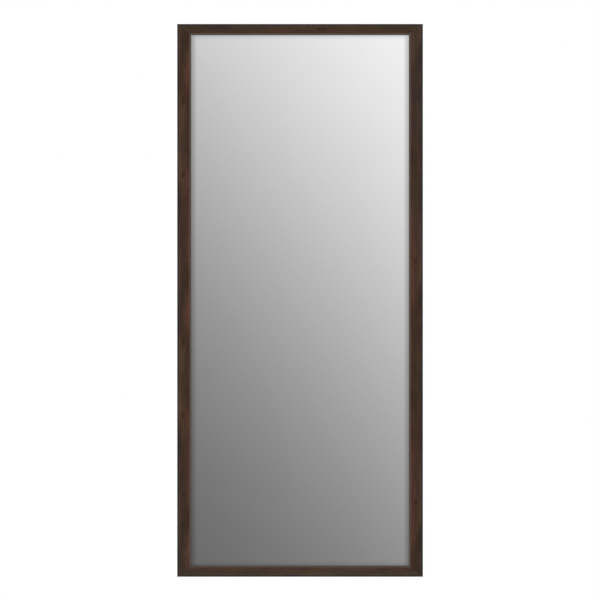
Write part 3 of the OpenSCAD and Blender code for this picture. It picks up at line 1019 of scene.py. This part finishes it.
def screw(name, head, start):
    """A screw from its tip up to a head outline, its shank starting at y = start."""
    tip, threaded = start - screw_l, screw_l - neck_l
    steps = 6 * round(threaded / thread_pitch)
    outline = [(0.0, tip)]
    for rise in (threaded * i / steps for i in range(1, steps + 1)):
        outline.append((min(shank_d / 2, tip_r + rise * tip_slope), tip + rise))
    neck_r = shank_d / 2 - 0.4 * thread_depth
    outline += [(neck_r, start - neck_l + 0.3 * MM), (neck_r, start - 0.1 * MM)]
    body = turned(name, outline + head, thread=thread_below(start - neck_l))
    cutter = in_scene("cutter", tapered_cross(head[-1][1]))
    made = through(body, "BOOLEAN", operation="DIFFERENCE", solver="EXACT", object=cutter)
    bpy.data.objects.remove(cutter)
    return welded(made)


print(f"a cross {recess_l / MM} mm wide and {recess_d / MM} mm deep")

# %% [markdown]
# ## Two heads
# A countersunk head is a cone flush with its brace, and a pan head is a low dome on the strap. A sphere
# cut off would give the same dome, but not in one body with its shank. So both heads are the last points
# of an outline.

# %% Countersunk and pan head screws
head_r, sink_d = head_d / 2, (head_d - shank_d) / 2
sunk_head = [
    (shank_d / 2, -sink_d), (head_r - 0.05 * MM, -0.12 * MM), (head_r - 0.12 * MM, 0.0), (0.0, 0.0),
]
sunk_screw = screw("sunk_screw", sunk_head, -sink_d)

pan_h, dome_steps = 2.3 * MM, 8
dome_r = (head_r**2 + pan_h**2) / (2 * pan_h) + 0.6 * MM
pan_head = [(shank_d / 2, 0.0), (head_r - 0.1 * MM, 0.0), (head_r, 0.1 * MM)]
for r in (head_r * (1 - i / dome_steps) for i in range(dome_steps + 1)):
    pan_head.append((r, pan_h - dome_r + math.sqrt(dome_r**2 - r**2)))
pan_screw = screw("pan_screw", pan_head, 0.0)
for kind, made in (("countersunk", sunk_screw), ("pan head", pan_screw)):
    print(f"{len(made.polygons)} faces on a {kind} screw")

# %% [markdown]
# ## Setting the screws
# Four countersunk screws hold each brace, and three pan head screws each hanger. The highest point of
# each CAD solid is the top of a head, so they are set by that. One seed for all would show the same turns
# at every corner, so each row has its own.

# %% Screws in place
four_corners = {
    "top_left": (-1, 1), "top_right": (1, 1), "bottom_left": (-1, -1), "bottom_right": (1, -1),
}
for name, node, ends, pattern, above, first_seed in (
    ("countersunk_screws_", "brace_screws_", four_corners, sunk_screw, 0.0, 0),
    ("pan_head_screws_", "hanger_screws_", ("left", "right"), pan_screw, pan_h, 10),
):
    for seed, end in enumerate(ends, first_seed):
        places = [middle(low, high, high.y - above) for low, high in solids(node + end)]
        set_out(name + end, places, pattern, "screw_steel", node + end, chance_turn=math.pi, seed=seed)

# %% [markdown]
# ## V nails
# V nails in the back pull the mitres together. Only a thin edge shows, a hair proud of the board: two
# arms that meet at a round corner and hook in at their ends. Two straight plates would lack the hooks, so
# it is a bent strip too, set out along the line of the mitre.

# %% V nails
nail_arm, nail_t, nail_d, nail_proud = 6 * MM, 0.8 * MM, 10 * MM, 0.12 * MM
nail_spread, nail_shares = math.radians(55), (0.23, 0.78)
hook_l, hook_turn = 1.2 * MM, math.radians(30)
arm_l, nose = nail_arm - nail_t / 2, 0.27 * MM


def towards(turn, length):
    """A step of that length, turned from straight ahead."""
    return Vector((math.sin(turn), math.cos(turn))) * length


arm = [towards(nail_spread, share * arm_l) for share in (0.12, 0.35, 0.6, 1 - hook_l / arm_l)]
arm.append(arm[-1] + towards(nail_spread - hook_turn, hook_l))
line = [(-a, b) for a, b in reversed(arm)] + [(0.0, nose)] + [(a, b) for a, b in arm]
nail = bent_strip("v_nail", line, [nail_d / 2] * len(line), nail_t)
nail.transform(Matrix.Rotation(math.radians(-90), 4, "Z"))
nail.transform(Matrix.Translation((0.0, nail_proud - nail_d / 2, 0.0)))
for corner, (sx, sz) in four_corners.items():
    inward = Vector((-sx * stile_w, -sz * rail_w)) * land_share
    places = [(sx * half_w + s * inward.x, back_y, sz * half_h + s * inward.y) for s in nail_shares]
    facing = math.atan2(-inward.y, inward.x)
    set_out("v_nails_" + corner, places, nail, "spring_steel", "corner_nails_" + corner, facing=facing)

# %% [markdown]
# ## Corner braces
# A flat steel angle, stamped from sheet. It could be built again, but its shape, with holes and
# countersinks, is right as the CAD has it. So a copy is welded, the triangles that split its flat faces
# are taken out, and its edges are eased as a press leaves them.

# %% Corner braces


def copied(node):
    """A welded copy of a CAD node's mesh, with whole flat faces and no finish."""
    clean = welded(frame["nodes"][node].data.copy(), flat=0.5)
    clean.materials.clear()
    return clean


for corner in four_corners:
    brace = eased(copied("corner_brace_" + corner), 0.25 * MM)
    piece("brace_" + corner, brace, "frame", "zinc_sheet", "corner_brace_" + corner)

# %% [markdown]
# ## Hanger straps
# Each hanger is a strip of sheet that runs up along the stile, goes round the bar of a wire ring, slopes
# down and lies flat on itself. Two slabs and a tube would look right from behind but not from the side,
# where the fold shows. So it is bent from one line, and its half width falls to a round end.

# %% Hanger straps
wire_d, wire_fit, strap_sheet = 4 * MM, 0.05 * MM, 1.2 * MM
barrel_r = wire_d / 2 + wire_fit + strap_sheet
pivots = {joint["child"]: Vector(joint["pos_m"]) for joint in frame["joints"]}
low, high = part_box("hanger_strap_right")
strap_w, strap_l = high.x - low.x, pivots["ring_right"].z - low.z
shown_t = strap_sheet - 0.04 * MM
end_r, round_r = strap_w / 2, barrel_r - shown_t / 2
lower_y, upper_y = -round_r, 2 * strap_sheet - barrel_r - shown_t / 2
slope_turn, slope_foot, slope_soft = 28, -2.2 * barrel_r, 0.8 * MM
end_zs = [-strap_l + end_r * (1 - math.cos(angle)) for angle in angles(0, 90, 10)]
line = [(z, lower_y) for z in end_zs]
for angle in angles(-90, 180 + slope_turn, 18):
    line.append((round_r * math.cos(angle), round_r * math.sin(angle)))
line += [(slope_foot + slope_soft, upper_y + 0.22 * MM), (slope_foot, upper_y + 0.04 * MM)]
line += [(z, upper_y) for z in (slope_foot - slope_soft, *reversed(end_zs))]
half_widths = [math.sqrt(end_r**2 - min(end_r, max(0.0, end_r - strap_l - z)) ** 2) for z, _ in line]
for side in ("left", "right"):
    strap = eased(bent_strip("strap", line, half_widths, shown_t), 0.2 * MM)
    strap.transform(Matrix.Translation(pivots["ring_" + side]))
    piece("folded_strap_" + side, strap, "frame", "zinc_sheet", "hanger_strap_" + side)

# %% [markdown]
# ## Wire rings
# The ring is one wire along a closed path: a bar, two small bends, two short sides and a half circle. A
# torus would have no bar to turn on, so a tree sweeps a circle along the path. The ring rides on its own
# body, and at rest it leans until it all but touches the stile.

# %% Wire rings
wire = Rule("Wire along a path", {"Wire radius": "Float", "Sides": "Int", "Finish": "Material"})
given = wire.given
path = wire.add("GeometryNodeMeshToCurve", {"Mesh": given["Geometry"]})
circle = {"Resolution": given["Sides"], "Radius": given["Wire radius"]}
round_wire = wire.add("GeometryNodeCurvePrimitiveCircle", circle)
wire.close(wire.add("GeometryNodeCurveToMesh", {"Curve": path, "Profile Curve": round_wire}), Finish=True)

bend_r, ring_side, side_play, rest_gap = 4 * MM, 4 * MM, 0.3 * MM, 0.25 * MM
ring_half = strap_w / 2 + side_play
loop_r = ring_half + bend_r
lean = math.asin((barrel_r - wire_d / 2 - rest_gap) / (bend_r + ring_side + loop_r))
corners = [(0.0, 0.0, 0.0)]
for mid_x, mid_z, radius, *turn in (
    (ring_half, bend_r, bend_r, -90, 90, 10), (0.0, bend_r + ring_side, loop_r, 0, 180, 40),
    (-ring_half, bend_r, bend_r, 180, 90, 10),
):
    for angle in angles(*turn):
        corners.append((mid_x + radius * math.cos(angle), 0.0, mid_z + radius * math.sin(angle)))
count = len(corners)
for side in ("left", "right"):
    path = mesh_of("ring_path", corners, edges=[(i, (i + 1) % count) for i in range(count)])
    values = {"Wire radius": wire_d / 2, "Sides": 20, "Finish": finishes["zinc_wire"]}
    ring = through(path, "NODES", node_group=wire.tree, values=values)
    ring.transform(Matrix.Translation(pivots["ring_" + side]) @ Matrix.Rotation(lean, 4, "X"))
    piece("wire_ring_" + side, smooth(welded(ring)), "ring_" + side, "zinc_wire", "hanger_ring_" + side)
print(f"the rings lean {math.degrees(lean):.1f} degrees")

# %% [markdown]
# ## Wall bumpers
# A moulded rubber button: tapered so that it leaves its mould, rounded where it meets the wall, and
# dished so that it sits without rocking. A bevelled cylinder has neither taper nor dish, so it is turned
# from its outline like the screws.

# %% Wall bumpers
taper, round_off, foot_w, foot_h = 1 * MM, 1.2 * MM, 0.2 * MM, 0.3 * MM
dish = [(3.6 * MM, 0.0), (3.2 * MM, 0.25 * MM), (0.0, 0.35 * MM)]
for corner in four_corners:
    low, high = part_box("wall_bumper_" + corner)
    base_r = (high.x - low.x) / 2
    outline = [(0.0, low.y), (base_r - foot_w, low.y), (base_r, low.y + foot_h)]
    for angle in angles(0, 90, 6):
        rim_r = base_r - taper - round_off * (1 - math.cos(angle))
        outline.append((rim_r, high.y - round_off * (1 - math.sin(angle))))
    outline += [(r, high.y - depth) for r, depth in dish]
    bumper = turned("bumper", outline, sides=48)
    bumper.transform(Matrix.Translation(middle(low, high, 0.0)))
    piece("rubber_bumper_" + corner, smooth(bumper, 50), "frame", "rubber", "wall_bumper_" + corner)

# %% [markdown]
# ## Foam strips and setting blocks
# Between lip and glass lies a strip of foam tape, thicker outwards because the bevel falls away from the
# lip, and the glass stands on two rubber blocks. A simulation could squeeze them, but the CAD has them
# squeezed already. So copies of its shapes are eased, since foam and rubber have no sharp edges.

# %% Foam strips and setting blocks
for name, node, slot, easing, sides in (
    ("foam_strip_", "cushion_", "foam", 0.12 * MM, ("left", "right", "top", "bottom")),
    ("glass_block_", "setting_block_", "rubber", 0.3 * MM, ("left", "right")),
):
    for side in sides:
        piece(name + side, eased(copied(node + side), easing), "frame", slot, node + side)

# %% [markdown]
# ## The studio that the glass shows
# A mirror is a picture of its room: here a soft sweep of light, bright at the upper right and dark at the
# lower left. Walls could be built for it, but a world shader is such a room at once, because a world's
# Generated coordinate is the direction of the ray. The sweep is one wide sine, so it goes on as soft
# bands that the steel on the back mirrors.

# %% The sweep of light
world = bpy.data.worlds.new("studio")
world.use_nodes = True
bpy.context.scene.world = world
room = Wiring(world.node_tree)
room.tree.nodes.clear()
toward = room.add("ShaderNodeTexCoord", output="Generated")
face_reach, bevel_reach = (0.058, 1.0, 0.142), (0.2, 1.0, 0.285)
past_bevel_weight = (-0.12, 1.0, -1.0)
sweep_middle, sweep_height = 0.6815, 0.311
sweep_right, sweep_up = 1.6375, 1.529


def held(vector, reach):
    """The vector, kept within a reach to both sides on each axis."""
    return room.vector("MINIMUM", room.vector("MAXIMUM", vector, tuple(-part for part in reach)), reach)


past_bevel = room.vector("SUBTRACT", toward, held(toward, bevel_reach))
swept = room.vector("MULTIPLY_ADD", past_bevel, past_bevel_weight, held(toward, face_reach))
climb = room.vector("DOT_PRODUCT", swept, (sweep_right / sweep_height, 0.0, sweep_up / sweep_height))
sweep = room.plus(room.times(room.maths("SINE", climb), sweep_height), sweep_middle)
print(f"sweep from {sweep_middle - sweep_height:.2f} to {sweep_middle + sweep_height:.2f} on screen")

# %% [markdown]
# ## Shade round the edge
# The flat face shows only rays near straight ahead, and the bevel those that lean further, so a shade
# that starts where the face's reach ends shows on the bevel alone. A darker colour on the glass could
# fake it, but would stay in other views. Further out it fades, so that the steel doesn't show it. Rays
# from the camera see plain white, and rays for diffuse light an even grey.

# %% Shade, tint and level
right, _, up = room.split(room.vector("ABSOLUTE", toward))
near_sides, near_ends = room.ramp(right, 0.25, 0.6, 1.0, 0.0), room.ramp(up, 0.3, 0.6, 1.0, 0.0)
side_shade = room.times(room.ramp(right, 0.056, 0.165, 0.0, 0.205, "LINEAR"), near_sides)
past_end = room.maths("POWER", room.ramp(up, 0.16, 0.286, shape="LINEAR"), 2.0)
end_shade = room.times(room.times(past_end, 0.18), near_ends)
shown = room.times(sweep, room.times(room.minus(1.0, side_shade), room.minus(1.0, end_shade)))

# From screen to linear light, as seen() does it
light = room.maths("POWER", room.maths("DIVIDE", room.plus(shown, 0.055), 1.055), 2.4)
ambient = 0.42
ray = room.add("ShaderNodeLightPath").node.outputs
level = room.maths("DIVIDE", light, silver_light)
for kind, strength in (("Is Diffuse Ray", ambient), ("Is Camera Ray", 1.0)):
    level = room.add("ShaderNodeMix", {0: ray[kind], 2: level, 3: strength}, data_type="FLOAT")
white, cool, warm = (1.0, 1.0, 1.0, 1.0), (0.98, 1.0, 1.03, 1.0), (1.015, 1.0, 0.965, 1.0)
hue = room.mix(room.times(room.ramp(up, 0.155, 0.21), near_ends), white, cool)
hue = room.mix(room.times(room.ramp(right, 0.08, 0.16), near_sides), hue, warm)
sky = {"Color": room.mix(ray["Is Glossy Ray"], white, hue), "Strength": level}
room.end("ShaderNodeOutputWorld", room.add("ShaderNodeBackground", sky))
print(f"{len(room.tree.nodes)} nodes in the studio, ambient light {ambient}")

# %% [markdown]
# ## Lamps
# Large, far area lamps give soft, even light, where a small or near one would leave a hot spot. With the
# ambient light they add up to about 1 on the face of the frame, so a colour shows as it is written. They
# stay out of reflections, or the glass would show them as squares.

# %% Lamps
lamp_size = 2.6
for name, place, watts in (
    ("front_key", (1.4, -4.6, 1.4), 90.0), ("front_fill", (-2.4, -4.6, -0.8), 90.0),
    ("back_key", (-2.0, 3.8, 2.4), 104.0), ("back_fill", (2.6, 3.6, 0.6), 42.0),
):
    light = bpy.data.lights.new(name, "AREA")
    light.shape, light.size, light.energy = "SQUARE", lamp_size, watts
    lamp = in_scene(name, light)
    lamp.location = place
    lamp.rotation_euler = (-Vector(place)).to_track_quat("-Z", "Y").to_euler()
    lamp.visible_glossy = lamp.visible_camera = False
    print(f"{name}: {watts:.0f} W, {Vector(place).length:.1f} m from the mirror")

# %% [markdown]
# ## Floor
# The mirror hangs, so the floor is only a pale disc under it that catches its shadow. A square one would
# show its edge against the white. This one fades towards its rim and is clear from below, so that it
# never hides the mirror.

# %% Floor
floor_r, floor_gap, floor_sides = 1.5, 350 * MM, 96
rim = [2 * math.pi * i / floor_sides for i in range(floor_sides)]
disc = [(floor_r * math.cos(angle), floor_r * math.sin(angle), cad_low.z - floor_gap) for angle in rim]
floor = in_scene("floor", mesh_of("floor", disc, [range(floor_sides)]))
pale = Finish("pale_floor", specular=0.1)
from_middle = pale.vector("LENGTH", pale.vector("MULTIPLY", pale.at, (1.0, 1.0, 0.0)))
fade = pale.ramp(from_middle, 0.55 * floor_r, 0.98 * floor_r, 1.0, 0.0)
from_below = pale.add("ShaderNodeNewGeometry", output="Backfacing")
pale.set("Alpha", pale.times(fade, pale.minus(1.0, from_below)))
floor.data.materials.append(pale.done((0.86, 0.86, 0.86, 1.0), 0.9))
floor.visible_glossy = False
floor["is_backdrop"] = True
print(f"floor {floor_gap / MM:.0f} mm under the mirror")

# %% [markdown]
# ## Camera
# The photograph looks straight at the mirror, so the camera stands before its middle. Either its distance
# or its lens has to be guessed. Here the distance is, 6 m, and the lens follows: the frame has to cover
# as many of the picture's 600 pixels as it does in the photograph.

# %% Camera
photo_side, distance = 600, 6.0
frame_left_px, frame_right_px, frame_top_px, frame_bottom_px = 177.03, 423.06, 24.04, 576.74
metres_per_px = 2 * (half_w + half_h) / (frame_right_px - frame_left_px + frame_bottom_px - frame_top_px)
lens = bpy.data.cameras.new("camera")
lens.sensor_width = 36.0
lens.lens = lens.sensor_width * distance / (photo_side * metres_per_px)
camera = in_scene("camera", lens)
aside_px = photo_side / 2 - (frame_left_px + frame_right_px) / 2
down_px = (frame_top_px + frame_bottom_px) / 2 - photo_side / 2
camera.location = aside_px * metres_per_px, front_y - distance, down_px * metres_per_px
camera.rotation_euler = (math.radians(90), 0.0, 0.0)
bpy.context.scene.camera = camera
bpy.context.scene.view_settings.view_transform = "Standard"
print(f"lens {lens.lens:.1f} mm, {metres_per_px / MM:.2f} mm to a pixel")

# %% [markdown]
# ## Size
# The dressed mirror has to stay inside the CAD's box. Measuring pieces one by one could miss one, so both
# whole boxes are written down and compared.

# %% Size
low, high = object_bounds()
print("grown by", [round((b - a) / MM, 2) for a, b in zip((*low, *cad_high), (*cad_low, *high))], "mm")
